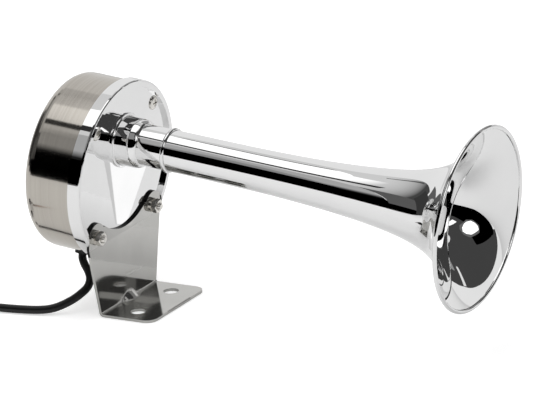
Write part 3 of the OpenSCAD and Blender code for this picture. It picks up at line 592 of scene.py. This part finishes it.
def card(name, corners, shade, faces=None, fades="X", shown=None):
    """A card that only reflections show.

    A shade of four numbers fades along one axis, as place1, shade1, place2, shade2. What shown
    names is a light path's value and its least: other rays pass through the card.
    """
    mesh = bpy.data.meshes.new(name)
    mesh.from_pydata(corners, [], faces or [tuple(range(len(corners)))])
    obj = bpy.data.objects.new(name, mesh)
    scene.collection.objects.link(obj)
    made, tree, shader = plain_nodes(name)
    shader.inputs["Base Color"].default_value = BLACK
    shader.inputs["Specular IOR Level"].default_value = 0
    shader.inputs["Roughness"].default_value = 1
    shader.inputs["Emission Color"].default_value = WHITE
    if isinstance(shade, tuple):
        start, shade1, end, shade2 = shade
        place = parts_of(tree, object_point(tree))["XYZ".index(fades)]
        wire(tree, spread(tree, place, shade1, shade2, start, end), shader.inputs["Emission Strength"])
    else:
        shader.inputs["Emission Strength"].default_value = shade
    if shown:
        value, least = shown
        path = tree.nodes.new("ShaderNodeLightPath")
        wire(tree, math_node(tree, "GREATER_THAN", path.outputs[value], least), shader.inputs["Alpha"])
    mesh.materials.append(made)
    obj.visible_camera = False
    obj.visible_diffuse = False
    obj.visible_shadow = False


def wall_card(name, points, shade, fades="X"):
    """A card on the wall at the camera's side, given as [x, z]."""
    card(name, [(x, WALL_Y, z) for x, z in points], shade, fades=fades)


def end_card(name, points, shade):
    """A card on the wall behind the drum, given as [y, z]."""
    card(name, [(END_X, y, z) for y, z in points], shade)


def level_card(name, points, shade, height=CEILING_Z, fades="X"):
    """A level card, given as [x, y]."""
    card(name, [(x, y, height) for x, y in points], shade, fades=fades)


def room_card(name, rows, shade, reach=1.5):
    """A curved card round the bell: rows of azimuth, lowest and highest elevation, in degrees."""
    points = []
    for azimuth, low, high in rows:
        a = math.radians(azimuth)
        for elevation in (low, high):
            rise = reach * math.tan(math.radians(elevation))
            points.append(BELL_MIDDLE + Vector((reach * math.cos(a), reach * math.sin(a), rise)))
    faces = [(2 * i, 2 * i + 2, 2 * i + 3, 2 * i + 1) for i in range(len(rows) - 1)]
    card(name, points, shade, faces)


def camera_ray(px, py):
    """The camera's direction of view at a place in the picture."""
    pixel = SENSOR / LENS / PICTURE[0]
    across, upward = (px - PICTURE[0] / 2) * pixel, (PICTURE[1] / 2 - py) * pixel
    return (CAMERA_RIGHT * across + CAMERA_UP * upward - CAMERA_BACK).normalized()


def beyond_face(px, py):
    """A point out from the drum's mirror face that it shows at a place in the picture."""
    ray = camera_ray(px, py)
    normal = HORN.to_3x3() @ Vector((1, 0, 0))
    face = HORN @ Vector((-RECESS * MM, 0, 0))
    hit = CAMERA_PLACE + ray * ((face - CAMERA_PLACE).dot(normal) / ray.dot(normal))
    return hit + (ray - 2 * ray.dot(normal) * normal) * FACE_TO_CARD


def beyond_corner(px, py):
    """A point out from the bracket's corner that its two mirrors show at a place in the picture."""
    ray, x, z = camera_ray(px, py), -HOLE_SETBACK * MM, SHEET * MM
    to_mirror = min((x - CAMERA_PLACE.x) / ray.x, (z - CAMERA_PLACE.z) / ray.z)
    seen = CAMERA_PLACE + ray * (to_mirror + CORNER_TO_CARD)
    return Vector((2 * x - seen.x, seen.y, 2 * z - seen.z))


def brighter(tree, camera, glossy):
    """More light for the rays that the camera sends straight, and for those that a gloss sends."""
    path = tree.nodes.new("ShaderNodeLightPath")
    straight = math_node(tree, "MULTIPLY", path.outputs["Is Camera Ray"], camera)
    through_glass = math_node(tree, "MULTIPLY", path.outputs["Is Transmission Ray"], camera)
    mirrored = math_node(tree, "MULTIPLY", path.outputs["Is Glossy Ray"], glossy)
    return math_node(tree, "ADD", math_node(tree, "ADD", straight, through_glass), mirrored)


def make_floor(far=6, drop=0.0002):
    """A matt floor, a little below the foot."""
    mesh = bpy.data.meshes.new("floor")
    corners = [(-far, -far, 0), (far, -far, 0), (far, far, 0), (-far, far, 0)]
    mesh.from_pydata(corners, [], [(0, 1, 2, 3)])
    floor = bpy.data.objects.new("floor", mesh)
    floor.location.z = -drop
    scene.collection.objects.link(floor)
    made, tree, shader = plain_nodes("floor")
    shader.inputs["Base Color"].default_value = (0.74, 0.74, 0.74, 1)
    shader.inputs["Roughness"].default_value = 0.9
    shader.inputs["Specular IOR Level"].default_value = 0
    wire(tree, brighter(tree, 0.5, 0.05), shader.inputs["Emission Strength"])
    shader.inputs["Emission Color"].default_value = WHITE
    mesh.materials.append(made)


def make_world(strength=0.75):
    world = bpy.data.worlds.new("world")
    world.use_nodes = True
    scene.world = world
    tree = world.node_tree
    back = tree.nodes["Background"]
    back.inputs["Color"].default_value = WHITE
    wire(tree, math_node(tree, "ADD", brighter(tree, 0.25, 0.08), strength), back.inputs["Strength"])


def softbox(name, place, target, width, height, power):
    data = bpy.data.lights.new(name, "AREA")
    data.shape = "RECTANGLE"
    data.size = width
    data.size_y = height
    data.energy = power
    light = bpy.data.objects.new(name, data)
    scene.collection.objects.link(light)
    light.location = place
    light.rotation_euler = (Vector(target) - Vector(place)).to_track_quat("-Z", "Y").to_euler()
    light.visible_glossy = False


make_floor()
make_world()
softbox("top_softbox", (-0.16, -0.145, 1.2), (-0.16, -0.145, 0), width=0.72, height=0.89, power=6)

# Walls, floor and ceiling that the neck, the trumpet and the drum's side show
wall_card("black_wall", [(0.4, 0.004), (-3, 0.004), (-3, 0.28), (-0.64, 0.28), (-0.61, 0.44),
                         (-0.42, 0.44), (-0.42, 0.52), (-0.36, 0.58), (0.4, 0.58)], 0)
wall_card("fading_wall", [(-0.42, 0.44), (-0.61, 0.44), (-0.61, 0.63), (-0.42, 0.63)],
          (0.48, 0.012, 0.63, 0.4), "Z")
level_card("black_floor", [(-0.37, WALL_Y), (-3, WALL_Y), (-3, -0.56), (-0.37, -0.62)], 0, 0.003)
wall_card("grey_wall", [(0.4, 0.58), (-0.36, 0.58), (-0.42, 0.52), (-0.42, 1.5), (0.4, 1.5)], 0.25)
wall_card("light_wall", [(-0.42, 0.63), (-0.61, 0.63), (-0.62, 1.5), (-0.42, 1.5)], 0.4)
wall_card("dim_wall", [(-0.62, 0.28), (-3, 0.28), (-3, 1), (-0.62, 1)], 0.1)
level_card("softbox_face", [(0.4, -0.47), (-0.5, -0.47), (-0.5, -0.02), (-0.47, 0.02), (-0.45, 0.3),
                            (0.4, 0.3)], 1.25)
level_card("softbox_side", [(-0.5, -0.47), (-0.64, -0.47), (-0.64, -0.05), (-0.5, -0.02)],
           (-0.64, 0.62, -0.5, 1.25))
level_card("softbox_front", [(0.4, -0.63), (-0.75, -0.63), (-0.75, -0.47), (0.4, -0.47)], 0.03)
level_card("softbox_back", [(0.4, 0.3), (-0.45, 0.3), (-0.45, 0.37), (0.4, 0.37)], 0.03)
level_card("ceiling_line", [(-0.58, 0.31), (-1.4, 0.44), (-1.4, 0.58), (-0.58, 0.36)], 0.1)
level_card("far_ceiling", [(0.4, 0.37), (-0.5, 0.37), (-0.5, 0.75), (0.4, 0.75)], 0.6, 1.2)
level_card("grey_ceiling", [(-0.44, -1.3), (-3, -1.3), (-3, 0.6), (-0.44, 0.6)],
           (-1.7, 0.06, -0.6, 0.66), 1.2)
end_card("dark_end", [(WALL_Y, 0.004), (0.2, 0.004), (0.2, 1.2), (WALL_Y, 1.2)], 0.04)
end_card("dim_end", [(0.2, 0.004), (0.9, 0.004), (0.9, 0.75), (0.2, 0.75)], 0.11)

# Two cards that the drum's face shows, given by their corners in the picture. The bracket's
# upright is nearer to them than the face is, and shows neither.
LIT_PART = ((109, 155), (150, 155), (126.5, 224), (117, 224))
SHADED_PART = ((103, 155), (109, 155), (117, 224), (115.5, 224))
REACH_MARGIN = 0.006
from_face = ("Ray Length", FACE_TO_CARD - REACH_MARGIN)
card("lit_floor", [beyond_face(*p) for p in LIT_PART], 1.1, shown=from_face)
card("shaded_floor", [beyond_face(*p) for p in SHADED_PART], 0.62, shown=from_face)

# Shade on the floor at the horn's far side, which fades outwards
level_card("floor_shade", [(-0.012, 0.046), (0.072, 0.046), (0.072, 0.105), (-0.012, 0.105)],
           (0.055, 0.62, 0.105, 0.86), 0.002, "Y")

# A bar and a post that the bracket's corner shows, by way of its foot and its upright
BAR = ((99, 291.3), (161, 297.8), (161, 304.3), (99, 297.8))
POST = ((125, 274), (136, 274), (135, 318), (125, 318))
second_bounce = ("Ray Depth", 1.5)
card("light_bar", [beyond_corner(*p) for p in BAR], 0.48, shown=second_bounce)
card("light_post", [beyond_corner(*p) for p in POST], 0.24, shown=second_bounce)

# The room in front, which the bell shows
room_card("dark_front", [(-76, -5, 26), (-60, -5, 24), (-40, -5, 24), (-25, -3, 24), (-12, -1.5, 29),
                         (-6, -1, 28), (0, 0, 26), (3.5, 1.5, 24)], 0, 0.8)
room_card("dark_room", [(-76, 18, 62), (-12, 15, 62), (0, -1, 62), (15, 1.5, 62), (30, 4.5, 62),
                        (45, 7.5, 62), (60, 8.5, 60), (72, 6, 55), (80, 3, 50)], 0.055)
room_card("grey_room", [(66, 20, 50), (108, 12, 50)], 0.28, 1.4)
room_card("lamp_glow", [(-42, 18, 34), (-34, 12, 40), (-20, 11, 40), (-11, 16, 32)], 0.14, 0.78)
room_card("lamp", [(-39, 21, 27), (-35, 15, 34), (-27, 13, 38), (-20, 13, 35), (-15, 15, 28)], 1.6, 0.75)
room_card("second_lamp", [(-58, 32, 46), (-50, 32, 50)], 1.3, 0.75)
room_card("light_gap", [(56.5, 9, 27), (60, 9, 27)], 0.8, 1.4)
